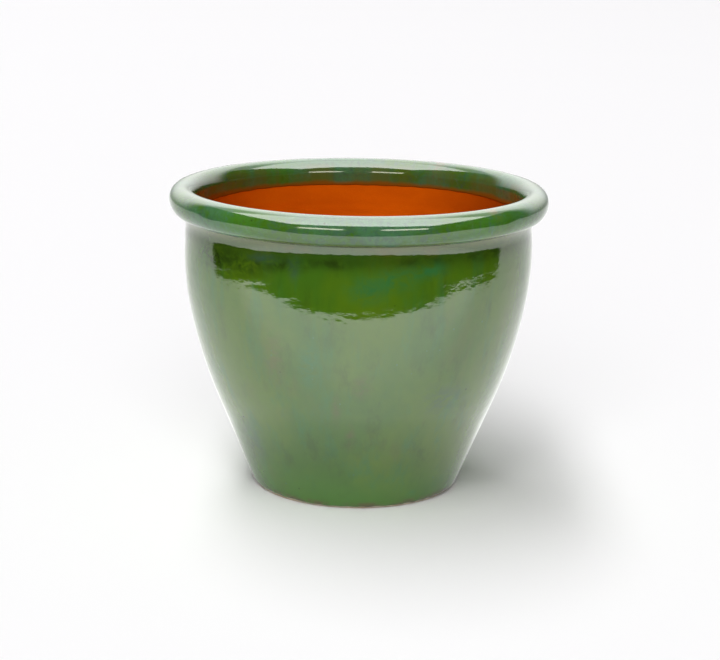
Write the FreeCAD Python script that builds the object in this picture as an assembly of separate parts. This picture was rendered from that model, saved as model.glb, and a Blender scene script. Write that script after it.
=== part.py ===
import FreeCAD, Part
import math
import os

# Glazed terracotta pot, in millimetres.
# +Z is up and runs along the pot's axis. The origin is on the ground, at the centre of the foot.
# Every piece is turned about +Z from a half section, so a point below is (radius, height).
# "Depth" is how far a surface lies under the outside of the glaze.

# Outside of the glazed pot
HEIGHT = 242.5
RIM_RADIUS = 150.0
ROLL_RADIUS = 11.25        # section radius of the rolled rim
BELLY_RADIUS = 138.3       # widest part of the wall
BELLY_HEIGHT = 190.0
BELLY_ARC = 226.0          # section radius of the wall round the belly
BELLY_TURN = math.radians(10.2)   # how far that arc turns from upright before the lower arc takes over
CONE_SLOPE = math.radians(22.5)   # lean of the straight lower wall from upright
FOOT_RADIUS = 81.9         # the straight lower wall carried down to the ground
COVE_RADIUS = 13.0         # hollow moulding between wall and roll
CREASE_RADIUS = 140.0      # where the cove meets the underside of the roll

# Glaze coats
GLAZE = 1.0
GLAZE_STOP = 3.5           # height of the wiped edge above the ground
GLAZE_BEVEL = 0.8          # height over which a coat thins to nothing at its edge
MOUTH_GLAZE_LOW = 221.5    # how far down the mouth the rim coat reaches

# Foot and floor
FOOT_HEIGHT = 5.0
FOOT_ROUND = 3.0
FOOT_INNER_LOW = 69.0      # inside of the foot ring at the ground
FOOT_INNER_TOP = 66.0      # and where it meets the floor
KEY_INNER = 70.0           # ridge on the foot ring that sits in a groove of the floor
KEY_OUTER = 77.0
KEY_TOP = 7.5
FLOOR_SHOULDER = 13.0      # step on the floor slab that the wall stands on
FLOOR_TOP = 19.0
FLOOR_DISC_RADIUS = 72.0   # raised middle of the floor slab
DRAIN_RADIUS = 12.5
SEAM_COIL_TOP = 30.0       # height of the coil worked into the inside corner
SEAM_COIL_SAG = 2.6        # hollow of its face

# Top of the wall
NECK_LOW = 208.0           # ledge on the wall that the neck coil stands on
NECK_INNER = 132.8         # face between the thinned wall and the neck coil
SEAT_HEIGHT = 224.5        # flat seat of the roll on wall and neck coil

# Worked out from the above
ROLL_CENTRE = (RIM_RADIUS - ROLL_RADIUS, HEIGHT - ROLL_RADIUS)
BELLY_CENTRE = (BELLY_RADIUS - BELLY_ARC, BELLY_HEIGHT)
MOUTH_CLAY_RADIUS = RIM_RADIUS - 2 * ROLL_RADIUS + GLAZE
WALL_DEPTH = BELLY_RADIUS - MOUTH_CLAY_RADIUS


def along(centre, angle, distance):
    """Point at a distance from a centre, at an angle above the outward direction."""
    return (centre[0] + distance * math.cos(angle), centre[1] + distance * math.sin(angle))


def direction(start, end):
    """Angle above the outward direction, from one point to another."""
    return math.atan2(end[1] - start[1], end[0] - start[0])


def lower_arc_radius():
    """Radius of the arc that joins the belly arc to the straight cone of the lower wall."""
    start = along(BELLY_CENTRE, -BELLY_TURN, BELLY_ARC)
    rise = math.sin(CONE_SLOPE) - math.sin(BELLY_TURN)
    run = math.cos(BELLY_TURN) - math.cos(CONE_SLOPE)
    lean = math.tan(CONE_SLOPE)
    return (start[0] - FOOT_RADIUS - start[1] * lean) / (run - rise * lean)


LOWER_ARC = lower_arc_radius()
LOWER_CENTRE = along(BELLY_CENTRE, -BELLY_TURN, BELLY_ARC - LOWER_ARC)


def crossing(centre_a, radius_a, centre_b, radius_b):
    """Where two circles cross, on the right-hand side going from centre A to centre B."""
    apart = math.dist(centre_a, centre_b)
    reach = (radius_a ** 2 - radius_b ** 2 + apart ** 2) / (2 * apart)
    turn = math.acos(reach / radius_a)
    return along(centre_a, direction(centre_a, centre_b) - turn, radius_a)


# The cove touches the belly arc and ends at the crease
CREASE = along(ROLL_CENTRE, -math.acos((CREASE_RADIUS - ROLL_CENTRE[0]) / ROLL_RADIUS), ROLL_RADIUS)
COVE_CENTRE = crossing(BELLY_CENTRE, BELLY_ARC + COVE_RADIUS, CREASE, COVE_RADIUS)
BELLY_TO_COVE = direction(BELLY_CENTRE, COVE_CENTRE)


# Lines and arcs of the half section

def line(start, end):
    return Part.LineSegment(FreeCAD.Vector(start[0], 0, start[1]),
                            FreeCAD.Vector(end[0], 0, end[1])).toShape()


def arc(start, middle, end):
    points = [FreeCAD.Vector(p[0], 0, p[1]) for p in (start, middle, end)]
    return Part.Arc(*points).toShape()


def arc_about(centre, radius, first, last):
    """Arc between two angles about a centre."""
    return arc(along(centre, first, radius),
               along(centre, (first + last) / 2, radius),
               along(centre, last, radius))


def path(*points):
    """Straight lines through the points in turn."""
    return [line(a, b) for a, b in zip(points, points[1:])]


def turned(edges):
    """Solid turned about the pot's axis from a closed half section."""
    section = Part.Face(Part.Wire(Part.sortEdges(edges)[0]))
    return section.revolve(FreeCAD.Vector(0, 0, 0), FreeCAD.Vector(0, 0, 1), 360)


# The wall's surfaces, at any depth

def wall_breaks(depth):
    """Heights where the cone ends and where the belly arc starts."""
    cone_end = along(LOWER_CENTRE, -CONE_SLOPE, LOWER_ARC - depth)
    belly_start = along(BELLY_CENTRE, -BELLY_TURN, BELLY_ARC - depth)
    return cone_end[1], belly_start[1]


def wall_point(depth, height):
    """Point of the wall's surface at a depth, at a height."""
    cone_end, belly_start = wall_breaks(depth)
    if height < cone_end:
        radius = FOOT_RADIUS - depth / math.cos(CONE_SLOPE) + height * math.tan(CONE_SLOPE)
    elif height < belly_start:
        rise = height - LOWER_CENTRE[1]
        radius = LOWER_CENTRE[0] + math.sqrt((LOWER_ARC - depth) ** 2 - rise ** 2)
    else:
        rise = height - BELLY_CENTRE[1]
        radius = BELLY_CENTRE[0] + math.sqrt((BELLY_ARC - depth) ** 2 - rise ** 2)
    return (radius, height)


def wall_line(depth, low, high):
    """Edges of the wall's surface between two heights."""
    cone_end, belly_start = wall_breaks(depth)
    between = [height for height in (cone_end, belly_start) if low < height < high]
    heights = [low] + between + [high]
    edges = []
    for start, end in zip(heights, heights[1:]):
        middle = (start + end) / 2
        if middle < cone_end:
            edges.append(line(wall_point(depth, start), wall_point(depth, end)))
        else:
            edges.append(arc(wall_point(depth, start), wall_point(depth, middle),
                             wall_point(depth, end)))
    return edges


def neck_point(depth):
    """Where the wall's surface runs into the cove."""
    return along(BELLY_CENTRE, BELLY_TO_COVE, BELLY_ARC - depth)


def crease_point(depth):
    """Where the cove meets the roll."""
    return crossing(ROLL_CENTRE, ROLL_RADIUS - depth, COVE_CENTRE, COVE_RADIUS + depth)


def cove_line(depth):
    end = direction(COVE_CENTRE, crease_point(depth))
    return arc_about(COVE_CENTRE, COVE_RADIUS + depth, BELLY_TO_COVE + math.pi, end)


def roll_line(depth):
    """The roll's surface from the crease, over the outside and the top, to the mouth."""
    start = direction(ROLL_CENTRE, crease_point(depth))
    return arc_about(ROLL_CENTRE, ROLL_RADIUS - depth, start, math.pi)


def seat_corner():
    """Corner of the stepped joint between neck coil and roll, straight above the crease."""
    return (crease_point(GLAZE)[0], SEAT_HEIGHT)


# The pieces

def foot_ring():
    """Ring that the pot stands on, with a ridge on top that keys into the floor."""
    round_centre = wall_point(GLAZE + FOOT_ROUND, FOOT_ROUND)
    edges = [arc_about(round_centre, FOOT_ROUND, -math.pi / 2, -CONE_SLOPE)]
    cone_start = along(round_centre, -CONE_SLOPE, FOOT_ROUND)
    cone_end = wall_point(GLAZE, FOOT_HEIGHT)
    edges += path(cone_start, cone_end,
                  (KEY_OUTER, FOOT_HEIGHT), (KEY_OUTER, KEY_TOP),
                  (KEY_INNER, KEY_TOP), (KEY_INNER, FOOT_HEIGHT),
                  (FOOT_INNER_TOP, FOOT_HEIGHT), (FOOT_INNER_LOW, 0),
                  (round_centre[0], 0))
    return turned(edges)


def floor_slab():
    """Round floor with the drain hole, a groove for the foot and a step for the wall."""
    edges = path((DRAIN_RADIUS, FOOT_HEIGHT), (KEY_INNER, FOOT_HEIGHT),
                 (KEY_INNER, KEY_TOP), (KEY_OUTER, KEY_TOP), (KEY_OUTER, FOOT_HEIGHT),
                 wall_point(GLAZE, FOOT_HEIGHT), wall_point(GLAZE, FLOOR_SHOULDER),
                 (FLOOR_DISC_RADIUS, FLOOR_SHOULDER), (FLOOR_DISC_RADIUS, FLOOR_TOP),
                 (DRAIN_RADIUS, FLOOR_TOP), (DRAIN_RADIUS, FOOT_HEIGHT))
    return turned(edges)


def floor_seam_coil():
    """Coil between the raised floor and the wall, with a hollow face."""
    wall_low = wall_point(WALL_DEPTH, FLOOR_SHOULDER)
    wall_top = wall_point(WALL_DEPTH, SEAM_COIL_TOP)
    floor_edge = (FLOOR_DISC_RADIUS, FLOOR_TOP)
    middle = ((wall_top[0] + floor_edge[0]) / 2, (wall_top[1] + floor_edge[1]) / 2)
    down = direction(floor_edge, wall_top) - math.pi / 2
    edges = path(floor_edge, (FLOOR_DISC_RADIUS, FLOOR_SHOULDER), wall_low, wall_top)
    edges.append(arc(wall_top, along(middle, down, SEAM_COIL_SAG), floor_edge))
    return turned(edges)


def wall_shell():
    """Wall from the floor's step to the roll, thinned at the top for the neck coil."""
    edges = wall_line(GLAZE, FLOOR_SHOULDER, NECK_LOW)
    edges += path(wall_point(GLAZE, NECK_LOW), (NECK_INNER, NECK_LOW), (NECK_INNER, SEAT_HEIGHT),
                  (MOUTH_CLAY_RADIUS, SEAT_HEIGHT), (MOUTH_CLAY_RADIUS, BELLY_HEIGHT))
    edges += wall_line(WALL_DEPTH, FLOOR_SHOULDER, BELLY_HEIGHT)
    edges += path(wall_point(WALL_DEPTH, FLOOR_SHOULDER), wall_point(GLAZE, FLOOR_SHOULDER))
    return turned(edges)


def neck_coil():
    """Coil lapped round the thinned wall and worked into the cove."""
    edges = wall_line(GLAZE, NECK_LOW, neck_point(GLAZE)[1])
    edges.append(cove_line(GLAZE))
    edges += path(crease_point(GLAZE), seat_corner(), (NECK_INNER, SEAT_HEIGHT),
                  (NECK_INNER, NECK_LOW), wall_point(GLAZE, NECK_LOW))
    return turned(edges)


def rim_roll():
    """Thick rolled rim, flat underneath, with a lip outside the neck coil."""
    edges = [roll_line(GLAZE)]
    edges += path((MOUTH_CLAY_RADIUS, ROLL_CENTRE[1]), (MOUTH_CLAY_RADIUS, SEAT_HEIGHT),
                  seat_corner(), crease_point(GLAZE))
    return turned(edges)


def outer_glaze():
    """Coat over the outside, from the wiped edge above the foot to the end of the cove."""
    surface_low = GLAZE_STOP + GLAZE_BEVEL
    edges = wall_line(0, surface_low, neck_point(0)[1])
    edges.append(cove_line(0))
    edges.append(line(crease_point(0), crease_point(GLAZE)))
    edges.append(cove_line(GLAZE))
    edges += wall_line(GLAZE, GLAZE_STOP, neck_point(GLAZE)[1])
    edges.append(line(wall_point(GLAZE, GLAZE_STOP), wall_point(0, surface_low)))
    return turned(edges)


def rim_glaze():
    """Coat over the roll and a short way down inside the mouth."""
    mouth_radius = MOUTH_CLAY_RADIUS - GLAZE
    edges = [roll_line(0)]
    edges += path((mouth_radius, ROLL_CENTRE[1]), (mouth_radius, MOUTH_GLAZE_LOW + GLAZE_BEVEL),
                  (MOUTH_CLAY_RADIUS, MOUTH_GLAZE_LOW), (MOUTH_CLAY_RADIUS, ROLL_CENTRE[1]))
    edges.append(roll_line(GLAZE))
    edges.append(line(crease_point(GLAZE), crease_point(0)))
    return turned(edges)


PIECES = (foot_ring, floor_slab, floor_seam_coil, wall_shell, neck_coil, rim_roll,
          outer_glaze, rim_glaze)

os.makedirs("parts", exist_ok=True)
for piece in PIECES:
    solid = piece()
    solid.exportStep("parts/" + piece.__name__ + ".step")
    print(piece.__name__, "valid", solid.isValid(), "volume", round(solid.Volume))
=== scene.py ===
import math

import bpy
import numpy as np
from mathutils import Matrix, Vector


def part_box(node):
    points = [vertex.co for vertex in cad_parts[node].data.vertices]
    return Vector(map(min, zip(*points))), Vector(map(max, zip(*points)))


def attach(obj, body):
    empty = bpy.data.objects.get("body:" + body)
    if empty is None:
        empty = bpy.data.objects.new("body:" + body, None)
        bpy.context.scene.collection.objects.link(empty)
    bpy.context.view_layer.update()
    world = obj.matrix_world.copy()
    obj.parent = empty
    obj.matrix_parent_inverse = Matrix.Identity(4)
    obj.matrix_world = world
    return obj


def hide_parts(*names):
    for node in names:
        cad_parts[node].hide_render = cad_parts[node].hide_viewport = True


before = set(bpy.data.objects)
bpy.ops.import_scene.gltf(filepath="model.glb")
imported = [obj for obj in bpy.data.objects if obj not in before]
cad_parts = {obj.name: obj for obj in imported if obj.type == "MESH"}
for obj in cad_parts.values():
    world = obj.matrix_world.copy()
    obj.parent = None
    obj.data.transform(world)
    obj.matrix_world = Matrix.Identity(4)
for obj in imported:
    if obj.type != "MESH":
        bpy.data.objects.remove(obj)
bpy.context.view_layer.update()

# A green-glazed terracotta pot, in metres, +Z up along its axis, standing on the ground.
# Every turned piece is a closed outline of (radius, height) points swept round the axis,
# with its surface then moved a little by the hand-made unevenness below.

MM = 0.001

# Sizes read from the frame
RIM_LOW, RIM_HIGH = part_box("rim_glaze")
COAT_LOW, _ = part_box("outer_glaze")
WALL_LOW, WALL_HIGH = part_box("wall_shell")
COIL_LOW, COIL_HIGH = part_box("floor_seam_coil")
SLAB_LOW, SLAB_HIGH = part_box("floor_slab")
_, FOOT_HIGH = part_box("foot_ring")

# Outside of the wall and its thickness
BELLY_RADIUS = 138.3 * MM      # widest part of the wall
BELLY_HEIGHT = 190.0 * MM
BELLY_ARC = 226.0 * MM         # section radius of the wall round the belly
BELLY_TURN = math.radians(10.2)   # how far that arc turns before the lower arc takes over
CONE_SLOPE = math.radians(22.5)   # lean of the straight lower wall from upright
FOOT_RADIUS = 81.9 * MM        # the straight lower wall carried down to the ground
GLAZE = 1.0 * MM
COAT = 0.9 * MM                # thickness of the glaze as it is swept here, just clear of the clay
WALL_DEPTH = 9.8 * MM          # inside of the wall, under the outside of the glaze
MOUTH_CLAY_RADIUS = 130.0 * MM   # wall's inner face at its top
INNER_RADIUS = 128.5 * MM      # and at the belly
NECK_LOW = 208.0 * MM          # ledge on the wall that the neck coil stands on
TONGUE_RADIUS = 132.8 * MM     # outside of the thinned wall behind the neck coil

# Rolled rim and the cove under it
TOP_SLACK = 0.2 * MM           # kept free inside the box of the frame's rim, at its top
SIDE_SLACK = 0.02 * MM         # and at its side
RIM_RADIUS = RIM_HIGH.x - SIDE_SLACK
ROLL_OUT = 10.5 * MM           # from the roll's crest out to the rim's edge
ROLL_IN = 10.3 * MM            # from the crest in to the mouth
ROLL_UP = 10.0 * MM            # from the widest level up to the crest
ROLL_DOWN = 13.0 * MM          # and down to the underside
ROLL_SHOULDER = 12.5 * MM      # depth of the rounding between crest and mouth
CREST_RADIUS = RIM_RADIUS - ROLL_OUT
CREASE_RADIUS = 140.0 * MM     # where the cove meets the underside of the roll
COVE_RADIUS = 17.0 * MM        # hollow moulding between wall and roll

# Foot and floor
FOOT_INNER_LOW = 69.0 * MM     # inside of the foot ring at the ground
FOOT_INNER_TOP = 66.0 * MM     # and where it meets the floor
KEY_INNER = 70.0 * MM          # ridge on the foot ring that sits in a groove of the floor
KEY_OUTER = 77.0 * MM
DISC_RADIUS = 72.0 * MM        # raised middle of the floor slab
DRAIN_RADIUS = 12.5 * MM


# ---------------------------------------------------------------- camera

CAMERA_BACK = 1.4971           # in front of the pot's axis
CAMERA_HEIGHT = 0.4902
CAMERA_PITCH = math.radians(13.76)   # looking down
CAMERA_ROLL = math.radians(0.90)
CAMERA_LENS = 95.57            # on a 36 mm wide sensor
CAMERA_SHIFT = 0.0042


def make_camera():
    data = bpy.data.cameras.new("camera")
    data.sensor_width = 36.0
    data.lens = CAMERA_LENS
    data.shift_x = CAMERA_SHIFT
    data.clip_end = 100.0
    camera = bpy.data.objects.new("camera", data)
    bpy.context.scene.collection.objects.link(camera)
    tilt = Matrix.Rotation(math.pi / 2 - CAMERA_PITCH, 4, "X")
    roll = Matrix.Rotation(CAMERA_ROLL, 4, "Z")
    camera.matrix_world = Matrix.Translation((0, -CAMERA_BACK, CAMERA_HEIGHT)) @ tilt @ roll
    bpy.context.scene.camera = camera


make_camera()


# ---------------------------------------------------------------- outline helpers

def along(centre, angle, distance):
    """Point at a distance from a centre, at an angle above the outward direction."""
    return (centre[0] + distance * math.cos(angle), centre[1] + distance * math.sin(angle))


def direction(start, end):
    """Angle above the outward direction, from one point to another."""
    return math.atan2(end[1] - start[1], end[0] - start[0])


ROLL_CENTRE = (CREST_RADIUS, RIM_HIGH.z - TOP_SLACK - ROLL_UP)
BELLY_CENTRE = (BELLY_RADIUS - BELLY_ARC, BELLY_HEIGHT)


def lower_arc_radius():
    """Radius of the arc that joins the belly arc to the straight cone of the lower wall."""
    start = along(BELLY_CENTRE, -BELLY_TURN, BELLY_ARC)
    rise = math.sin(CONE_SLOPE) - math.sin(BELLY_TURN)
    run = math.cos(BELLY_TURN) - math.cos(CONE_SLOPE)
    lean = math.tan(CONE_SLOPE)
    return (start[0] - FOOT_RADIUS - start[1] * lean) / (run - rise * lean)


LOWER_ARC = lower_arc_radius()
LOWER_CENTRE = along(BELLY_CENTRE, -BELLY_TURN, BELLY_ARC - LOWER_ARC)


def wall_radius(depth, height):
    """Radius of the wall's surface at a depth under the glaze, at a height."""
    cone_end = along(LOWER_CENTRE, -CONE_SLOPE, LOWER_ARC - depth)[1]
    belly_start = along(BELLY_CENTRE, -BELLY_TURN, BELLY_ARC - depth)[1]
    if height < cone_end:
        return FOOT_RADIUS - depth / math.cos(CONE_SLOPE) + height * math.tan(CONE_SLOPE)
    if height < belly_start:
        rise = height - LOWER_CENTRE[1]
        return LOWER_CENTRE[0] + math.sqrt((LOWER_ARC - depth) ** 2 - rise ** 2)
    rise = height - BELLY_CENTRE[1]
    return BELLY_CENTRE[0] + math.sqrt((BELLY_ARC - depth) ** 2 - rise ** 2)


def wall_points(depth, low, high, step):
    """Points up the wall's surface at a depth under the glaze."""
    count = max(2, round((high - low) / step))
    return [(wall_radius(depth, z), z) for z in np.linspace(low, high, count + 1)]


def straight(start, end, step):
    count = max(1, round(math.dist(start, end) / step))
    return [tuple(np.array(start) + (np.array(end) - np.array(start)) * t)
            for t in np.linspace(0, 1, count + 1)]


def arc_points(centre, radii, first, last, step):
    """Points on an ellipse's arc, by its parameter angle."""
    count = max(3, round(abs(last - first) * max(radii) / step))
    return [(centre[0] + radii[0] * math.cos(a), centre[1] + radii[1] * math.sin(a))
            for a in np.linspace(first, last, count + 1)]


def joined(*stretches):
    """One closed outline from stretches whose ends meet."""
    points = []
    for stretch in stretches:
        for point in stretch:
            if not points or math.dist(points[-1], point) > 1e-6:
                points.append(point)
    if math.dist(points[0], points[-1]) < 1e-6:
        points.pop()
    return points


# ---------------------------------------------------------------- unevenness

class Unevenness:
    """Sum of seeded waves round and up the pot, mostly between -1 and 1, the same every run."""

    def __init__(self, seed, turns, wavelength, count=14):
        random = np.random.default_rng(seed)
        self.turns = random.integers(turns[0], turns[1] + 1, count)
        self.rise = random.uniform(-1, 1, count) * 2 * math.pi / wavelength
        self.phase = random.uniform(0, 2 * math.pi, count)
        self.size = 1.6 / math.sqrt(count)

    def __call__(self, angle, height):
        total = 0
        for turns, rise, phase in zip(self.turns, self.rise, self.phase):
            total = total + np.cos(turns * angle + rise * height + phase)
        return total * self.size


def ease(value, low, high):
    """0 below low, 1 above high, smooth between."""
    t = np.clip((value - low) / (high - low), 0, 1)
    return t * t * (3 - 2 * t)


# ---------------------------------------------------------------- meshes

def turned(name, shown, hidden, segments, move=None):
    """Closed mesh swept round the axis from two stretches that make one closed outline.

    move(angle, radius, height) gives shifts of radius and height, for the shown stretch only.
    """
    shown = joined(shown)
    points = np.array(joined(shown, hidden))
    loose = np.arange(len(points)) < len(shown)
    area = np.sum(points[:, 0] * np.roll(points[:, 1], -1) - np.roll(points[:, 0], -1) * points[:, 1])
    if area < 0:
        points, loose = points[::-1], loose[::-1]
    angle = np.linspace(0, 2 * math.pi, segments, endpoint=False)[:, None]
    radius = np.repeat(points[None, :, 0], segments, 0)
    height = np.repeat(points[None, :, 1], segments, 0)
    if move:
        out, up = move(angle + 0 * radius, radius, height)
        radius = radius + out * loose
        height = height + up * loose
    x = radius * np.cos(angle)
    y = radius * np.sin(angle)
    vertices = np.stack([x, y, height], -1).reshape(-1, 3)
    count = len(points)
    i = np.arange(segments)[:, None]
    j = np.arange(count)[None, :]
    next_i = (i + 1) % segments
    next_j = (j + 1) % count
    faces = np.stack([i * count + j, next_i * count + j,
                      next_i * count + next_j, i * count + next_j], -1).reshape(-1, 4)
    mesh = bpy.data.meshes.new(name)
    mesh.from_pydata(vertices.tolist(), [], faces.tolist())
    mesh.polygons.foreach_set("use_smooth", np.ones(len(faces), bool))
    mesh.update()
    piece = bpy.data.objects.new(name, mesh)
    bpy.context.scene.collection.objects.link(piece)
    return piece


def place(piece, material, slot, *nodes):
    piece.data.materials.append(material)
    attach(piece, "root")
    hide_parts(*nodes)


# ---------------------------------------------------------------- materials

class Nodes:
    """Short calls that add nodes to a material."""

    def __init__(self, name):
        self.material = bpy.data.materials.new(name)
        self.material.use_nodes = True
        self.tree = self.material.node_tree
        self.shader = self.tree.nodes["Principled BSDF"]
        self.place = self.add("ShaderNodeTexCoord").outputs["Object"]

    def add(self, kind, **settings):
        node = self.tree.nodes.new(kind)
        for key, value in settings.items():
            setattr(node, key, value)
        return node

    def link(self, source, target):
        if hasattr(source, "links"):
            self.tree.links.new(source, target)
        else:
            target.default_value = source

    def stretch(self, scale, offset=(0, 0, 0)):
        node = self.add("ShaderNodeMapping")
        node.inputs["Scale"].default_value = scale
        node.inputs["Location"].default_value = offset
        self.link(self.place, node.inputs["Vector"])
        return node.outputs["Vector"]

    def noise(self, vector, scale, detail=3.0, roughness=0.5, distortion=0.0):
        node = self.add("ShaderNodeTexNoise")
        self.link(vector, node.inputs["Vector"])
        node.inputs["Scale"].default_value = scale
        node.inputs["Detail"].default_value = detail
        node.inputs["Roughness"].default_value = roughness
        node.inputs["Distortion"].default_value = distortion
        return node.outputs["Fac"]

    def spots(self, vector, scale):
        node = self.add("ShaderNodeTexVoronoi")
        self.link(vector, node.inputs["Vector"])
        node.inputs["Scale"].default_value = scale
        return node

    def band(self, value, low, high):
        """0 below low, 1 above high (or the other way round if low is higher), smooth between."""
        node = self.add("ShaderNodeMapRange", interpolation_type="SMOOTHSTEP")
        self.link(value, node.inputs["Value"])
        if low < high:
            node.inputs["From Min"].default_value = low
            node.inputs["From Max"].default_value = high
        else:
            node.inputs["From Min"].default_value = high
            node.inputs["From Max"].default_value = low
            node.inputs["To Min"].default_value = 1.0
            node.inputs["To Max"].default_value = 0.0
        return node.outputs["Result"]

    def maths(self, operation, a, b=0.0):
        node = self.add("ShaderNodeMath", operation=operation)
        self.link(a, node.inputs[0])
        self.link(b, node.inputs[1])
        return node.outputs["Value"]

    def mix(self, amount, first, second):
        node = self.add("ShaderNodeMix", data_type="RGBA")
        self.link(amount, node.inputs["Factor"])
        self.link(self.colour(first), node.inputs[6])
        self.link(self.colour(second), node.inputs[7])
        return node.outputs[2]

    def tinted(self, colour, tint, mask, amount):
        """The colour with a tint laid over it where the mask is 1, as strongly as the amount."""
        return self.mix(self.maths("MULTIPLY", mask, amount), colour, tint)

    def colour(self, value):
        return value if hasattr(value, "links") else (*value, 1.0)

    def blob(self, centre, size):
        """1 at a place on the surface, falling to 0 at the half sizes given along X, Y and Z."""
        scale = [1 / s for s in size]
        offset = [-c / s for c, s in zip(centre, size)]
        length = self.add("ShaderNodeVectorMath", operation="LENGTH")
        self.link(self.stretch(scale, offset), length.inputs[0])
        return self.band(length.outputs["Value"], 1.0, 0.0)

    def height(self):
        node = self.add("ShaderNodeSeparateXYZ")
        self.link(self.place, node.inputs[0])
        return node.outputs["Z"]

    def radius(self):
        flat = self.add("ShaderNodeVectorMath", operation="MULTIPLY")
        self.link(self.place, flat.inputs[0])
        flat.inputs[1].default_value = (1, 1, 0)
        length = self.add("ShaderNodeVectorMath", operation="LENGTH")
        self.link(flat.outputs["Vector"], length.inputs[0])
        return length.outputs["Value"]

    def bump(self, value, depth, strength=1.0, below=None):
        node = self.add("ShaderNodeBump")
        node.inputs["Distance"].default_value = depth
        node.inputs["Strength"].default_value = strength
        self.link(value, node.inputs["Height"])
        if below:
            self.link(below, node.inputs["Normal"])
        return node.outputs["Normal"]

    def set(self, **values):
        for key, value in values.items():
            self.link(value, self.shader.inputs[key.replace("_", " ")])


BOTTLE_GREEN = (0.047, 0.132, 0.008)
YELLOW_GREEN = (0.074, 0.154, 0.005)
TEAL = (0.026, 0.145, 0.040)
GREY_TEAL = (0.044, 0.096, 0.062)
DEEP_GREEN = (0.019, 0.042, 0.004)
FOOT_GREEN = (0.078, 0.215, 0.030)
SEA_GREEN = (0.056, 0.158, 0.064)
LEAF = (0.052, 0.180, 0.010)
OLIVE = (0.090, 0.118, 0.016)
RUST = (0.110, 0.088, 0.034)
BROWN = (0.220, 0.080, 0.005)
AMBER = (0.078, 0.078, 0.006)
PALE_TEAL = (0.110, 0.205, 0.120)
ROSE = (0.300, 0.120, 0.060)
CLAY = (0.655, 0.112, 0.001)
CLAY_DARK = (0.59, 0.096, 0.001)
CLAY_PALE = (0.70, 0.165, 0.010)
# Darker clay for painted shade on the right of the inside wall.
CLAY_IN_SHADE = (0.34, 0.052, 0.001)
CLAY_WORN = (0.46, 0.38, 0.24)
CLAY_CREAM = (0.62, 0.57, 0.45)

# Larger patches of one tint: tint, how strong it is, then (degrees from the front, height,
# half width, half height) for each
BODY_PATCHES = (
    # The deep green patches along the top of the wall are painted shade from the roll.
    (DEEP_GREEN, 0.9, ((-50, 0.199, 0.030, 0.020), (-38, 0.199, 0.034, 0.015),
                       (-24, 0.203, 0.032, 0.010), (-8, 0.206, 0.034, 0.007),
                       (44, 0.208, 0.032, 0.007), (20, 0.207, 0.030, 0.006))),
    (TEAL, 0.85, ((3, 0.187, 0.024, 0.016), (12, 0.194, 0.026, 0.014), (22, 0.200, 0.024, 0.010),
                  (-16, 0.125, 0.012, 0.030), (31, 0.011, 0.006, 0.005))),
    (GREY_TEAL, 0.6, ((-20, 0.203, 0.007, 0.018), (-31, 0.206, 0.022, 0.006),
                      (34, 0.095, 0.028, 0.022), (-52, 0.050, 0.016, 0.045))),
    (RUST, 0.45, ((-7, 0.092, 0.006, 0.022), (-2, 0.066, 0.006, 0.020),
                  (2, 0.110, 0.012, 0.016), (-28, 0.130, 0.012, 0.040))))
COVE_PATCHES = ((-19, 0.2150, 0.016, 0.007), (8, 0.2160, 0.020, 0.006), (24, 0.2150, 0.016, 0.007))

# Places on the roll: (degrees from the front, tint, half width, how strong)
RIM_TINTS = ((-36, LEAF, 0.040, 1.0), (40, LEAF, 0.050, 1.0), (55, LEAF, 0.022, 0.9),
             (44, ROSE, 0.012, 0.8), (0, GREY_TEAL, 0.040, 0.4), (-148, LEAF, 0.045, 0.9),
             (150, ROSE, 0.014, 0.7), (-105, OLIVE, 0.030, 0.6), (100, OLIVE, 0.030, 0.6),
             (-62, DEEP_GREEN, 0.016, 0.5))
RIM_TINT_HALF_HEIGHT = 0.030

# Painted shade: the clay on the right of the inside wall is darkened, given as place and half sizes.
SHADE_ON_RIGHT_WALL = (((0.118, 0.060, 0.205), (0.120, 0.100, 0.060)),)   # place and half sizes

# Levels between which a tint comes in, as (none, full)
# Painted shade: the wall darkens to deep green towards its top, under the roll's cove.
SHADE_UNDER_COVE = (0.206, 0.222)
POOLED_AT_FOOT = (0.045, 0.006)
WIPED_LIP = (0.0075, 0.0035)
# Olive high in the cove: thinner glaze there, and painted shade under the roll.
THIN_AND_SHADED_UNDER_RIM = (0.2130, 0.2175)
# Olive at the crease under the roll: thin glaze, and painted shade in the crease.
THIN_AND_SHADED_IN_CREASE = (0.2235, 0.2195)
MOUTH_TOE = (0.2225, 0.2185)
MOUTH_SIDE = (0.1335, 0.1300)    # radii, so that it starts inside the mouth


def on_wall(degrees, height):
    """Place on the outside of the wall, at an angle from the front towards +X."""
    radius = wall_radius(0, height)
    angle = math.radians(degrees)
    return (radius * math.sin(angle), -radius * math.cos(angle), height)


def patches(n, colour, tint, amount, places):
    """Tints the colour at (degrees, height, half width, half height) places, with ragged edges."""
    ragged = n.noise(n.stretch((1, 1, 1.3), (7.0, 1.0, 2.0)), 95.0, 5.0, 0.65, 0.5)
    ragged = n.band(ragged, 0.30, 0.62)
    for degrees, height, half_width, half_height in places:
        spot = n.blob(on_wall(degrees, height), (half_width, 2 * half_width, half_height))
        colour = n.tinted(colour, tint, n.maths("MULTIPLY", spot, ragged), amount)
    return colour


def specks(n, colour, tint, scale, share, size, offset):
    """Scattered round specks of one tint; share is how many cells hold one."""
    cells = n.spots(n.stretch((1, 1, 1), offset), scale)
    near = n.band(cells.outputs["Distance"], size, 0.5 * size)
    chosen = n.add("ShaderNodeSeparateColor")
    n.link(cells.outputs["Color"], chosen.inputs[0])
    pick = n.band(chosen.outputs[0], 1.0 - share, 1.0 - share + 0.01)
    return n.tinted(colour, tint, n.maths("MULTIPLY", near, pick), 0.7)


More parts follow.
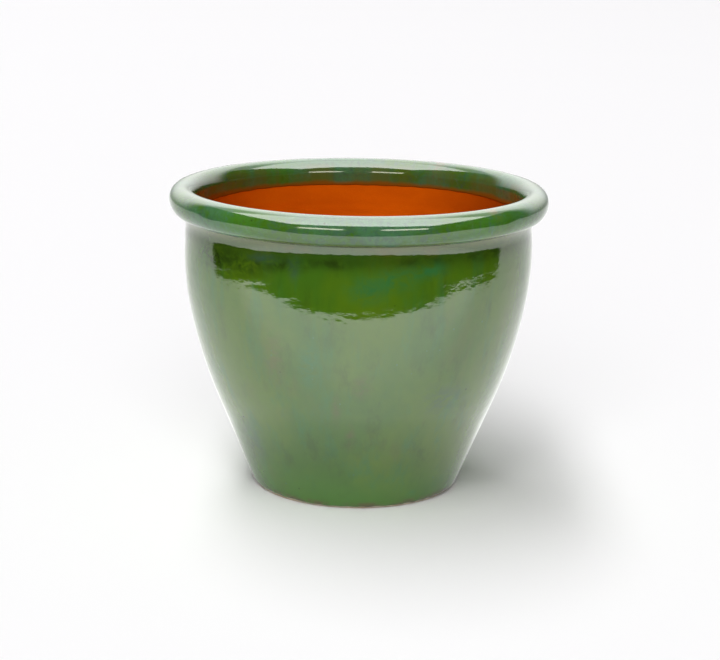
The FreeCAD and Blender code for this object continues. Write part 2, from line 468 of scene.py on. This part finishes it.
def body_glaze_material():
    """Copper green that ran and gathered in pools: yellow-green where thin, teal and grey where thick,
    with painted shade darkening it under the roll.
    """
    n = Nodes("green_glaze")
    height = n.height()
    clouds = n.noise(n.stretch((1, 1, 0.6)), 16.0, 4.0, 0.55)
    colour = n.mix(n.band(clouds, 0.40, 0.62), BOTTLE_GREEN, YELLOW_GREEN)
    runs = n.noise(n.stretch((1, 1, 0.22), (0.3, 0.0, 0.1)), 60.0, 5.0, 0.62)
    colour = n.tinted(colour, TEAL, n.band(runs, 0.50, 0.72), 0.55)
    deep = n.noise(n.stretch((1, 1, 0.35), (3.1, 1.7, 0.4)), 42.0, 5.0, 0.65)
    colour = n.tinted(colour, DEEP_GREEN, n.band(deep, 0.52, 0.76), 0.45)
    # Painted shade under the roll: deep green towards the top of the wall, with a wandering edge.
    shade_under_cove = n.maths("ADD", height, n.maths("MULTIPLY", clouds, 0.022))
    colour = n.tinted(colour, DEEP_GREEN, n.band(shade_under_cove, *SHADE_UNDER_COVE), 0.55)
    warm = n.noise(n.stretch((1, 1, 0.3), (9.0, 4.0, 1.3)), 34.0, 4.0, 0.6)
    colour = n.tinted(colour, OLIVE, n.band(warm, 0.52, 0.75), 0.40)
    for tint, amount, places in BODY_PATCHES:
        colour = patches(n, colour, tint, amount, places)
    colour = n.tinted(colour, FOOT_GREEN, n.band(height, *POOLED_AT_FOOT), 0.6)
    broken = n.band(n.noise(n.place, 90.0, 3.0), 0.35, 0.60)
    lip = n.maths("MULTIPLY", n.band(height, *WIPED_LIP), broken)
    colour = n.tinted(colour, RUST, lip, 0.8)
    # Olive high in the cove: thin glaze, and painted shade under the roll.
    under_rim = n.maths("MULTIPLY", n.band(height, *THIN_AND_SHADED_UNDER_RIM), n.band(clouds, 0.30, 0.60))
    colour = n.tinted(colour, OLIVE, under_rim, 0.7)
    colour = patches(n, colour, AMBER, 0.9, COVE_PATCHES)
    colour = specks(n, colour, DEEP_GREEN, 70.0, 0.22, 0.085, (0.0, 0.0, 0.0))
    colour = specks(n, colour, SEA_GREEN, 95.0, 0.20, 0.10, (2.0, 5.0, 1.0))
    n.set(Base_Color=colour, Roughness=0.06, IOR=1.60)
    brushed = n.noise(n.stretch((1, 1, 1.8)), 130.0, 2.0)
    peel = n.noise(n.place, 240.0, 3.0, 0.6)
    n.set(Normal=n.bump(peel, 0.09 * MM, 1.0, n.bump(brushed, 0.12 * MM)))
    return n.material


def rim_glaze_material():
    """The same glaze where it is thick over the roll: mottled sea green, brown where it thins."""
    n = Nodes("green_glaze_rim")
    mottle = n.noise(n.place, 210.0, 4.0, 0.65, 0.4)
    clouds = n.noise(n.stretch((1, 1, 1), (4.0, 2.0, 0.0)), 26.0, 4.0, 0.6)
    colour = n.mix(n.band(clouds, 0.42, 0.60), SEA_GREEN, BOTTLE_GREEN)
    colour = n.tinted(colour, GREY_TEAL, n.band(mottle, 0.46, 0.66), 0.65)
    pale = n.noise(n.stretch((1, 1, 1), (1.0, 8.0, 3.0)), 150.0, 4.0, 0.7)
    colour = n.tinted(colour, PALE_TEAL, n.band(pale, 0.55, 0.75), 0.45)
    fleck = n.noise(n.stretch((1, 1, 1), (6.0, 1.0, 5.0)), 320.0, 3.0, 0.7)
    colour = n.tinted(colour, YELLOW_GREEN, n.band(fleck, 0.54, 0.70), 0.35)
    height = n.height()
    for degrees, tint, half_width, amount in RIM_TINTS:
        angle = math.radians(degrees)
        middle = (ROLL_CENTRE[0] * math.sin(angle), -ROLL_CENTRE[0] * math.cos(angle), ROLL_CENTRE[1])
        spot = n.blob(middle, (half_width, half_width, RIM_TINT_HALF_HEIGHT))
        colour = n.tinted(colour, tint, n.maths("MULTIPLY", spot, n.band(mottle, 0.36, 0.58)), amount)
    # Olive near the crease: thin glaze, and painted shade in the crease.
    creased = n.maths("MULTIPLY", n.band(height, *THIN_AND_SHADED_IN_CREASE), n.band(clouds, 0.35, 0.55))
    colour = n.mix(creased, colour, OLIVE)
    mouth = n.band(n.radius(), *MOUTH_SIDE)
    streaks = n.noise(n.stretch((1, 1, 0.3), (2.0, 3.0, 4.0)), 40.0, 4.0, 0.6)
    colour = n.tinted(colour, OLIVE, n.maths("MULTIPLY", mouth, n.band(streaks, 0.36, 0.60)), 0.75)
    worn = n.maths("ADD", height, n.maths("MULTIPLY", streaks, -0.006))
    colour = n.mix(n.maths("MULTIPLY", mouth, n.band(worn, *MOUTH_TOE)), colour, BROWN)
    colour = specks(n, colour, DEEP_GREEN, 90.0, 0.25, 0.10, (3.0, 0.0, 1.0))
    n.set(Base_Color=colour, Roughness=0.09, IOR=1.45)
    peel = n.noise(n.place, 380.0, 3.0)
    n.set(Normal=n.bump(peel, 0.016 * MM))
    return n.material


def clay_material(name, first, second, fleck, cloud_scale, shaded_places=()):
    """Bare fired clay: dull, dusty, with fine grog and open pores."""
    n = Nodes(name)
    clouds = n.noise(n.stretch((1, 1, 2.2)), cloud_scale, 5.0, 0.6)
    colour = n.mix(n.band(clouds, 0.34, 0.66), first, second)
    grain = n.noise(n.place, 900.0, 3.0, 0.7)
    colour = n.tinted(colour, fleck, n.band(grain, 0.52, 0.75), 0.35)
    pores = n.spots(n.place, 420.0)
    hollow = n.band(pores.outputs["Distance"], 0.30, 0.12)
    colour = n.tinted(colour, first, hollow, 0.18)
    # Painted shade darkens the clay at these places.
    for centre, size in shaded_places:
        colour = n.tinted(colour, CLAY_IN_SHADE, n.blob(centre, size), 0.95)
    n.set(Base_Color=colour, Roughness=0.9, Specular_IOR_Level=0.0)
    relief = n.maths("SUBTRACT", grain, n.maths("MULTIPLY", hollow, 0.4))
    n.set(Normal=n.bump(relief, 0.12 * MM, 0.7))
    return n.material


body_glaze = body_glaze_material()
rim_glaze = rim_glaze_material()
clay = clay_material("terracotta", CLAY_DARK, CLAY, CLAY_PALE, 22.0, SHADE_ON_RIGHT_WALL)
foot_clay = clay_material("terracotta_foot", CLAY_WORN, CLAY_CREAM, CLAY_CREAM, 60.0)


# ---------------------------------------------------------------- the pieces

# Finger strokes left in the wall: (degrees from the front, height, half width, half height, proud)
STROKES = ((40, 0.1935, 0.020, 0.0018, 0.090 * MM), (24, 0.1935, 0.014, 0.0018, -0.030 * MM),
           (-47, 0.1935, 0.010, 0.0018, 0.080 * MM), (-38, 0.1955, 0.014, 0.0018, 0.030 * MM),
           (-29, 0.1855, 0.014, 0.0018, -0.070 * MM), (-22, 0.1785, 0.008, 0.0018, 0.070 * MM))
STROKE_BEND = (1.0 * MM, 11.0 * MM)   # how far a stroke bends up and down, over what length
COAT_DRIP = 1.7 * MM           # how far the outer coat ran below the level it was wiped to
TOE_RUN = 0.6 * MM             # and the rim coat inside the mouth
RING_PITCH = 8.5 * MM          # throwing rings inside
RING_DEPTH = 0.07 * MM
COIL_STROKES = 17              # finger strokes round the seam coil
ALL_INWARD = 1.15              # taken off the roll's wave, so that no part of it leaves the frame's box

# Seed, fewest and most waves round the pot, shortest wavelength up it, number of waves summed
swell = Unevenness(11, (1, 5), 0.16)
ripple = Unevenness(12, (1, 12), 0.009)
dimple = Unevenness(13, (20, 110), 0.008, 24)
edge = Unevenness(14, (3, 60), 1.0, 24)


def crossing(centre_a, radius_a, centre_b, radius_b):
    """Where two circles cross, on the right-hand side going from centre A to centre B."""
    apart = math.dist(centre_a, centre_b)
    reach = (radius_a ** 2 - radius_b ** 2 + apart ** 2) / (2 * apart)
    turn = math.acos(reach / radius_a)
    return along(centre_a, direction(centre_a, centre_b) - turn, radius_a)


# The roll's section is stretches of three ellipses, and its angles below are their parameters
CREASE_TURN = -math.acos((CREASE_RADIUS - CREST_RADIUS) / ROLL_OUT)
CREASE = (CREASE_RADIUS, ROLL_CENTRE[1] + ROLL_DOWN * math.sin(CREASE_TURN))
COVE_CENTRE = crossing(BELLY_CENTRE, BELLY_ARC + COVE_RADIUS, CREASE, COVE_RADIUS)
BELLY_TO_COVE = direction(BELLY_CENTRE, COVE_CENTRE)
NECK_HEIGHT = along(BELLY_CENTRE, BELLY_TO_COVE, BELLY_ARC)[1]


def coat_edge(angle):
    """How far the wiped lower edge of the outer coat strays up and down."""
    return 0.14 * MM * edge(angle, 0) + 0.22 * MM * swell(angle, 0)


def outer_coat():
    low = COAT_LOW.z - COAT_DRIP
    bead = 0.5 * MM
    belly_end = BELLY_TO_COVE + math.pi
    crease_end = direction(COVE_CENTRE, CREASE)
    behind = COVE_RADIUS + COAT
    middle = (wall_radius(0, low) - bead, low + bead)
    round_up = arc_points(middle, (bead, bead), -math.pi / 2, 0, 0.25 * MM)
    outside = wall_points(0, low + bead, NECK_HEIGHT, 1.1 * MM)
    cove = arc_points(COVE_CENTRE, (COVE_RADIUS, COVE_RADIUS), belly_end, crease_end, 0.8 * MM)
    back_cove = arc_points(COVE_CENTRE, (behind, behind), crease_end, belly_end, 2 * MM)
    inside = wall_points(COAT, low + 0.2 * MM, NECK_HEIGHT, 9 * MM)[::-1]

    def move(angle, radius, height):
        fade = ease(height, 3 * MM, 20 * MM) * ease(-height, -NECK_HEIGHT, -NECK_HEIGHT + 12 * MM)
        out = 0.24 * MM * swell(angle, height) + 0.014 * MM * ripple(angle, height)
        out = out + 0.012 * MM * dimple(angle, height) - 0.05 * MM
        for degrees, level, half_width, half_height, proud in STROKES:
            turn = (angle - math.radians(degrees - 90) + math.pi) % (2 * math.pi) - math.pi
            across = turn * BELLY_RADIUS
            bend = level + STROKE_BEND[0] * np.sin(across / STROKE_BEND[1])
            away = (across / half_width) ** 2 + ((height - bend) / half_height) ** 2
            out = out + proud * np.exp(-away)
        at_edge = ease(-height, -low - 5 * MM, -low - 1 * MM)
        return fade * out, at_edge * coat_edge(angle)

    shown = joined(round_up, outside, cove)
    return turned("outer_glaze_coat", shown, joined(back_cove, inside), 352, move)


def roll_arcs(depth, step):
    """The roll's section at a depth under its surface: underside, outside, then crest to mouth."""
    shoulder = (CREST_RADIUS, ROLL_CENTRE[1] + ROLL_UP - ROLL_SHOULDER)
    return (arc_points(ROLL_CENTRE, (ROLL_OUT - depth, ROLL_DOWN - depth), CREASE_TURN, 0, step),
            arc_points(ROLL_CENTRE, (ROLL_OUT - depth, ROLL_UP - depth), 0, math.pi / 2, step),
            arc_points(shoulder, (ROLL_IN - depth, ROLL_SHOULDER - depth), math.pi / 2, math.pi, step))


def rim_coat():
    low = RIM_LOW.z - TOE_RUN
    under, over, in_to_mouth = roll_arcs(0, 0.7 * MM)
    mouth, level = in_to_mouth[-1]
    down = straight((mouth, level), (mouth + 0.1 * MM, low + MM), 0.8 * MM)
    toe = straight((mouth + 0.1 * MM, low + MM), (mouth + 0.8 * COAT, low), 0.3 * MM)
    up = straight((mouth + COAT, low + 0.1 * MM), (mouth + COAT, level), 3 * MM)
    behind = joined(*roll_arcs(COAT, 2 * MM))[::-1]

    def move(angle, radius, height):
        inner = radius < CREST_RADIUS - 0.8 * ROLL_IN
        at_toe = inner * ease(-height, -(low + 6 * MM), -low)
        wander = 0.5 * MM * swell(angle, 0.05) + 0.12 * MM * edge(angle, 0.03)
        over_crease = ease(height, CREASE[1] + 1 * MM, CREASE[1] + 6 * MM)
        slow = np.clip(swell(2 * angle, height), -1, 1) - ALL_INWARD
        wave = 0.09 * MM * slow + 0.004 * MM * dimple(angle, 2 * height)
        up_too = over_crease * wave * (height > ROLL_CENTRE[1])
        return over_crease * wave, up_too + at_toe * wander

    shown = joined(under, over, in_to_mouth, down, toe)
    return turned("rim_glaze_coat", shown, joined(up, behind), 480, move)


def roll_core():
    """Clay of the roll, close under its coat, on the flat seat at the wall's top."""
    seat = WALL_HIGH.z
    crust = joined(*roll_arcs(COAT + 0.05 * MM, 2 * MM))
    mouth = crust[-1][0]
    return turned("clay_rim_roll", crust, [(mouth, seat), (CREASE_RADIUS, seat)], 192)


def wall():
    """Thrown wall, thinned at the top where the neck coil laps round it."""
    low, high = WALL_LOW.z, WALL_HIGH.z
    down = straight((MOUTH_CLAY_RADIUS, high), (INNER_RADIUS, BELLY_HEIGHT), 1.2 * MM)
    inside = wall_points(WALL_DEPTH, low, BELLY_HEIGHT, 1.2 * MM)[::-1]
    under = straight((wall_radius(WALL_DEPTH, low), low), (wall_radius(GLAZE, low), low), 5 * MM)
    outside = wall_points(GLAZE, low, NECK_LOW, 6 * MM)
    step = straight((wall_radius(GLAZE, NECK_LOW), NECK_LOW), (TONGUE_RADIUS, NECK_LOW), 5 * MM)
    tongue = straight((TONGUE_RADIUS, NECK_LOW), (TONGUE_RADIUS, high), 8 * MM)
    top = straight((TONGUE_RADIUS, high), (MOUTH_CLAY_RADIUS, high), 5 * MM)

    def move(angle, radius, height):
        fade = ease(height, 14 * MM, 30 * MM) * ease(-height, -216 * MM, -205 * MM)
        rings = np.sin(2 * math.pi * height / RING_PITCH + angle) * (0.6 + 0.4 * swell(angle, height))
        out = RING_DEPTH * rings + 0.1 * MM * swell(angle + 1, height) + 0.02 * MM * dimple(angle, height)
        return fade * out, 0 * height

    hidden = joined(under, outside, step, tongue, top)
    return turned("clay_wall", joined(down, inside), hidden, 288, move)


def foot():
    """Foot ring: rounded outside, wiped underneath, with the ridge that keys into the floor."""
    low, high = 0.0, SLAB_LOW.z
    curve, inner_curve = 1.2 * MM, 1 * MM
    centre = (wall_radius(GLAZE + curve, curve), curve)
    outer = arc_points(centre, (curve, curve), -math.pi / 2, -CONE_SLOPE, 0.5 * MM)
    side = straight(outer[-1], (wall_radius(GLAZE, high), high), 1 * MM)
    ridge = [(KEY_OUTER, high), (KEY_OUTER, FOOT_HIGH.z), (KEY_INNER, FOOT_HIGH.z), (KEY_INNER, high)]
    inner = arc_points((FOOT_INNER_LOW + inner_curve, low + inner_curve), (inner_curve, inner_curve),
                       math.pi, 1.5 * math.pi, 0.4 * MM)
    rise = straight((FOOT_INNER_TOP, high), inner[0], 1 * MM)
    under = straight(inner[-1], outer[0], 1.2 * MM)

    def move(angle, radius, height):
        loose = ease(-height, -high, -high + 1 * MM)
        worn = 0.5 + 0.5 * np.clip(dimple(2 * angle, radius), -1, 1)
        return 0.12 * MM * loose * (swell(angle, radius) - 1), 0.12 * MM * worn * (height < 0.3 * MM)

    return turned("clay_foot_ring", joined(rise, inner, under, outer), joined(side, ridge), 288, move)


def slab():
    """Floor with its drain hole, whose edges are softened by a wet finger."""
    low, groove, shoulder, high = SLAB_LOW.z, FOOT_HIGH.z, WALL_LOW.z, SLAB_HIGH.z
    soft = 1.2 * MM
    lip = DRAIN_RADIUS + soft
    bottom = straight((lip, low), (KEY_INNER, low), 2 * MM)
    seat = [(KEY_INNER, groove), (KEY_OUTER, groove), (KEY_OUTER, low),
            (wall_radius(GLAZE, low), low), (wall_radius(GLAZE, shoulder), shoulder),
            (DISC_RADIUS, shoulder)]
    top = straight((DISC_RADIUS, high), (lip, high), 1.5 * MM)
    upper = arc_points((lip, high - soft), (soft, soft), math.pi / 2, math.pi, 0.4 * MM)
    bore = straight(upper[-1], (DRAIN_RADIUS, low + soft), 1.5 * MM)
    lower = arc_points((lip, low + soft), (soft, soft), math.pi, 1.5 * math.pi, 0.4 * MM)

    def move(angle, radius, height):
        open_top = (height > shoulder + 1 * MM) * ease(-radius, -71 * MM, -64 * MM)
        open_base = (height < low + 2 * MM) * ease(-radius, -65 * MM, -58 * MM)
        spiral = np.sin(2 * math.pi * radius / RING_PITCH - angle) * ease(radius, 12 * MM, 22 * MM)
        sag = ease(-radius, -70 * MM, 0.0)
        hole = ease(-radius, -20 * MM, -13.5 * MM)
        up = open_top * (0.18 * MM * spiral - 0.5 * MM * sag - 0.35 * MM)
        up = up + open_base * (0.35 * MM + 0.2 * MM * swell(angle, radius))
        return 0.15 * MM * hole * (1 + swell(angle, height)), up

    return turned("clay_floor_slab", joined(top, upper, bore, lower, bottom), seat, 256, move)


def seam_coil():
    """Coil pressed into the inside corner, smoothed by finger strokes."""
    floor_top, shoulder, top = SLAB_HIGH.z, COIL_LOW.z, COIL_HIGH.z
    sag, tucked_in = 2.4 * MM, 0.5 * MM
    start, end = (DISC_RADIUS, floor_top), (wall_radius(WALL_DEPTH, top) + tucked_in, top)
    down = direction(start, end) - math.pi / 2
    face = []
    for t in np.linspace(0, 1, 14):
        point = (start[0] + (end[0] - start[0]) * t, start[1] + (end[1] - start[1]) * t)
        face.append(along(point, down, sag * math.sin(math.pi * t)))
    back = straight(end, (wall_radius(WALL_DEPTH, shoulder), shoulder), 4 * MM)

    def move(angle, radius, height):
        on_face = ease(height, floor_top, floor_top + 2 * MM) * ease(-height, -top, -top + 2 * MM)
        strokes = 0.25 * MM * (np.abs(np.sin(COIL_STROKES * angle + swell(angle, 0))) - 0.6)
        return on_face * strokes, 0 * height

    hidden = joined(back, [(DISC_RADIUS, shoulder)])
    return turned("clay_floor_seam_coil", face, hidden, 288, move)


place(outer_coat(), body_glaze, "green_glaze", "outer_glaze")
place(rim_coat(), rim_glaze, "green_glaze", "rim_glaze")
place(roll_core(), clay, "terracotta", "rim_roll")
place(wall(), clay, "terracotta", "wall_shell")
place(foot(), foot_clay, "terracotta", "foot_ring")
place(slab(), clay, "terracotta", "floor_slab")
place(seam_coil(), clay, "terracotta", "floor_seam_coil")
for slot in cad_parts["neck_coil"].material_slots:
    slot.material = clay


# ---------------------------------------------------------------- studio

# Two set-ups that don't mix: the lights are hidden from reflections, and what the glaze mirrors
# is glowing plates that only reflections see. Lengths are in metres, from the pot's foot.

# Half outlines of the white table's edge, from its front middle round and back, as (x, y)
TABLE_LEFT = ((0.0, -0.495), (-0.35, -0.475), (-0.80, -0.43), (-0.90, -0.10),
              (-0.84, 0.10), (-1.4, 0.36), (-4.0, 1.3))
TABLE_RIGHT = ((0.0, -0.495), (0.35, -0.470), (0.80, -0.42), (0.88, -0.15),
               (0.92, 0.08), (1.6, 0.33), (4.0, 1.1))
TABLE_BACK = 4.0
TABLE_GLOW = ((-0.46, 3.1), (-0.26, 2.8), (-0.14, 1.92), (0.05, 1.62), (0.55, 1.22))   # (y, glow)
TABLE_SHADE = (0.082, 0.17, 0.25)   # shaded by the pot: up to here, gone from here, share left

BACKDROP_START = math.radians(100)   # round from the front, on both sides
BACKDROP_DISTANCE = 2.5
BACKDROP_BASE, BACKDROP_TALL = -0.01, 3.3
BACKDROP_PLATES = 32
BACKDROP_GLOW = ((0.24, 0.65), (0.41, 1.05), (0.7, 1.9), (1.0, 2.6), (1.7, 3.7), (2.5, 5.0))   # (z, glow)
BACKDROP_EDGE = (0.75, 1.5)    # y where its lit part starts, and is fully lit
BACKDROP_LEAN = -0.3           # how that moves with height

SOFTBOX_HEIGHT = 2.24
SOFTBOX_CORNERS = ((-2.05, -2.25), (2.4, -2.25), (1.95, 1.75), (-1.9, 1.75))
SOFTBOX_GLOW = ((-1.6, 13.7), (-0.4, 11.5), (0.45, 10.0), (0.75, 2.0))   # (y, glow)
SOFTBOX_BACK = (0.45, 0.75, 5.0)   # brighter middle of its back part: y from, y to, extra glow
SOFTBOX_MIDDLE = (0.4, 1.1)    # half widths where that extra glow starts to fade, and is gone

LAMP_GLOW = 15.0
LAMP_COLOUR = (1.0, 0.93, 0.82)
LAMP_DISTANCE = 1.45
LAMP_LEVEL = 0.23              # level that the lamps' rise is measured from
LAMP_RISE = (6, 15)            # degrees
LAMP_TURNS = {"left_lamp": (-33, -9), "right_lamp": (13, 39)}   # degrees from the front

FLOOR_HALF = 20.0
FLOOR_WHITE = (0.92, 0.92, 0.92, 1)
SKY_COLOUR = (1.0, 0.97, 1.01, 1)
SKY_STRENGTH = 0.12
KEY_POWER = 11000.0
KEY_PLACE = (-6.6, -1.4, 32.0)
KEY_SIZE = (8.0, 55.0)
FILL_ENERGY = 1.45
FILL_SPREAD, FILL_RISE, FILL_TURN = 45, 32, -6   # degrees
FILL_COLOUR = (1.0, 0.97, 1.01)


def stage_plate(name, corners, faces=None):
    """Mesh of the studio, one face through all its corners unless faces are given."""
    mesh = bpy.data.meshes.new(name)
    mesh.from_pydata(corners, [], faces or [tuple(range(len(corners)))])
    plate = bpy.data.objects.new(name, mesh)
    bpy.context.scene.collection.objects.link(plate)
    return plate


def only_reflected(plate):
    plate.visible_camera = False
    plate.visible_diffuse = False
    plate.visible_transmission = False
    plate.visible_volume_scatter = False
    plate.visible_shadow = False


def floor():
    corners = ((-1, -1), (1, -1), (1, 1), (-1, 1))
    plate = stage_plate("floor", [(FLOOR_HALF * x, FLOOR_HALF * y, 0) for x, y in corners])
    material = bpy.data.materials.new("floor_paper")
    material.use_nodes = True
    shader = material.node_tree.nodes["Principled BSDF"]
    shader.inputs["Base Color"].default_value = FLOOR_WHITE
    shader.inputs["Roughness"].default_value = 1.0
    shader.inputs["Specular IOR Level"].default_value = 0.0
    plate.data.materials.append(material)
    plate.visible_glossy = False


def smoothed(points, rounds=3):
    """Rounds the corners of a line by cutting each one off a few times."""
    for _ in range(rounds):
        cut = [points[0]]
        for a, b in zip(points, points[1:]):
            cut.append((0.75 * a[0] + 0.25 * b[0], 0.75 * a[1] + 0.25 * b[1]))
            cut.append((0.25 * a[0] + 0.75 * b[0], 0.25 * a[1] + 0.75 * b[1]))
        points = cut + [points[-1]]
    return points


class Glow:
    """Emission material whose strength can follow the place on the plate."""

    def __init__(self, name, strength=1.0, colour=(1, 1, 1)):
        self.material = bpy.data.materials.new(name)
        self.material.use_nodes = True
        self.tree = self.material.node_tree
        self.tree.nodes.clear()
        self.emission = self.tree.nodes.new("ShaderNodeEmission")
        self.emission.inputs["Color"].default_value = (*colour, 1)
        self.emission.inputs["Strength"].default_value = strength
        out = self.tree.nodes.new("ShaderNodeOutputMaterial")
        self.tree.links.new(self.emission.outputs[0], out.inputs[0])
        self.place = self.tree.nodes.new("ShaderNodeTexCoord").outputs["Object"]

    def axis(self, name):
        split = self.tree.nodes.new("ShaderNodeSeparateXYZ")
        self.tree.links.new(self.place, split.inputs[0])
        return split.outputs[name]

    def ramp(self, value, low, high, first=0.0, last=1.0, kind="LINEAR"):
        step = self.tree.nodes.new("ShaderNodeMapRange")
        step.interpolation_type = kind
        step.inputs["From Min"].default_value = low
        step.inputs["From Max"].default_value = high
        step.inputs["To Min"].default_value = first
        step.inputs["To Max"].default_value = last
        self.tree.links.new(value, step.inputs["Value"])
        return step.outputs["Result"]

    def along(self, axis, stops):
        """Value that runs straight between (place, value) stops along one axis."""
        value = self.axis(axis)
        total = self.ramp(value, stops[0][0], stops[1][0], stops[0][1], stops[1][1])
        for (y0, v0), (y1, v1) in zip(stops[1:], stops[2:]):
            total = self.maths("ADD", total, self.ramp(value, y0, y1, 0.0, v1 - v0))
        return total

    def from_axis(self, near, far, value):
        """Value up to the near distance from the pot's axis, rising to 1 at the far one."""
        length = self.tree.nodes.new("ShaderNodeVectorMath")
        length.operation = "LENGTH"
        self.tree.links.new(self.place, length.inputs[0])
        return self.ramp(length.outputs["Value"], near, far, value, 1.0)

    def maths(self, operation, a, b):
        node = self.tree.nodes.new("ShaderNodeMath")
        node.operation = operation
        for source, target in zip((a, b), node.inputs):
            if hasattr(source, "links"):
                self.tree.links.new(source, target)
            else:
                target.default_value = source
        return node.outputs[0]

    def strength(self, value):
        self.tree.links.new(value, self.emission.inputs["Strength"])


def reflected_table():
    left, right = smoothed(TABLE_LEFT), smoothed(TABLE_RIGHT)
    edge_line = left[::-1] + right[1:] + [(right[-1][0], TABLE_BACK), (left[-1][0], TABLE_BACK)]
    table = stage_plate("table_reflection", [(x, y, 0) for x, y in edge_line])
    glow = Glow("table_glow")
    glow.strength(glow.maths("MULTIPLY", glow.along("Y", TABLE_GLOW), glow.from_axis(*TABLE_SHADE)))
    table.data.materials.append(glow.material)
    only_reflected(table)


def reflected_backdrop():
    turns = np.linspace(BACKDROP_START, 2 * math.pi - BACKDROP_START, BACKDROP_PLATES + 1)
    vertices = []
    for turn in turns:
        x, y = BACKDROP_DISTANCE * math.sin(turn), -BACKDROP_DISTANCE * math.cos(turn)
        vertices += [(x, y, BACKDROP_BASE), (x, y, BACKDROP_TALL)]
    faces = [(2 * k, 2 * k + 2, 2 * k + 3, 2 * k + 1) for k in range(BACKDROP_PLATES)]
    backdrop = stage_plate("backdrop_reflection", vertices, faces)
    glow = Glow("backdrop_glow")
    across = glow.maths("ADD", glow.axis("Y"), glow.maths("MULTIPLY", glow.axis("Z"), BACKDROP_LEAN))
    lit = glow.ramp(across, *BACKDROP_EDGE, kind="SMOOTHSTEP")
    glow.strength(glow.maths("MULTIPLY", glow.along("Z", BACKDROP_GLOW), lit))
    backdrop.data.materials.append(glow.material)
    only_reflected(backdrop)


def reflected_softbox():
    softbox = stage_plate("softbox_reflection", [(x, y, SOFTBOX_HEIGHT) for x, y in SOFTBOX_CORNERS])
    glow = Glow("softbox_glow")
    sideways = glow.maths("ABSOLUTE", glow.axis("X"), 0.0)
    start, end, extra = SOFTBOX_BACK
    behind = glow.ramp(glow.axis("Y"), start, end, 0.0, extra)
    middle = glow.maths("MULTIPLY", behind, glow.ramp(sideways, *SOFTBOX_MIDDLE, 1.0, 0.0))
    glow.strength(glow.maths("ADD", glow.along("Y", SOFTBOX_GLOW), middle))
    softbox.data.materials.append(glow.material)
    only_reflected(softbox)


def reflected_lamps():
    glow = Glow("lamp_glow", LAMP_GLOW, LAMP_COLOUR)
    low, high = (LAMP_LEVEL + LAMP_DISTANCE * math.tan(math.radians(rise)) for rise in LAMP_RISE)
    for name, turns in LAMP_TURNS.items():
        first, last = ((LAMP_DISTANCE * math.sin(turn), -LAMP_DISTANCE * math.cos(turn))
                       for turn in map(math.radians, turns))
        plate = stage_plate(name, [(*first, low), (*last, low), (*last, high), (*first, high)])
        plate.data.materials.append(glow.material)
        only_reflected(plate)


def sun(name, energy, spread, rise, turn, colour):
    """Soft light from far away, at an angle above the floor and round from the front."""
    data = bpy.data.lights.new(name, "SUN")
    data.energy = energy
    data.angle = math.radians(spread)
    data.color = colour
    light = bpy.data.objects.new(name, data)
    bpy.context.scene.collection.objects.link(light)
    rise, turn = math.radians(rise), math.radians(turn)
    toward = Vector((math.sin(turn) * math.cos(rise), -math.cos(turn) * math.cos(rise), math.sin(rise)))
    light.rotation_mode = "QUATERNION"
    light.rotation_quaternion = toward.to_track_quat("Z", "Y")
    light.visible_glossy = False


def strip(name, power, place, size):
    """Long soft light overhead, to one side of the pot, running front to back."""
    data = bpy.data.lights.new(name, "AREA")
    data.shape = "RECTANGLE"
    data.energy = power
    data.size, data.size_y = size
    light = bpy.data.objects.new(name, data)
    bpy.context.scene.collection.objects.link(light)
    light.location = place
    light.visible_glossy = False
    light.visible_camera = False


def sky():
    world = bpy.data.worlds.new("studio")
    world.use_nodes = True
    background = world.node_tree.nodes["Background"]
    background.inputs["Color"].default_value = SKY_COLOUR
    background.inputs["Strength"].default_value = SKY_STRENGTH
    bpy.context.scene.world = world
    world.cycles_visibility.glossy = False


floor()
reflected_table()
reflected_backdrop()
reflected_softbox()
reflected_lamps()
sky()
strip("key_strip", KEY_POWER, KEY_PLACE, KEY_SIZE)
sun("fill_sun", FILL_ENERGY, FILL_SPREAD, FILL_RISE, FILL_TURN, FILL_COLOUR)

scene = bpy.context.scene
scene.view_settings.view_transform = "Standard"
scene.view_settings.look = "None"
scene.view_settings.exposure = 0.0
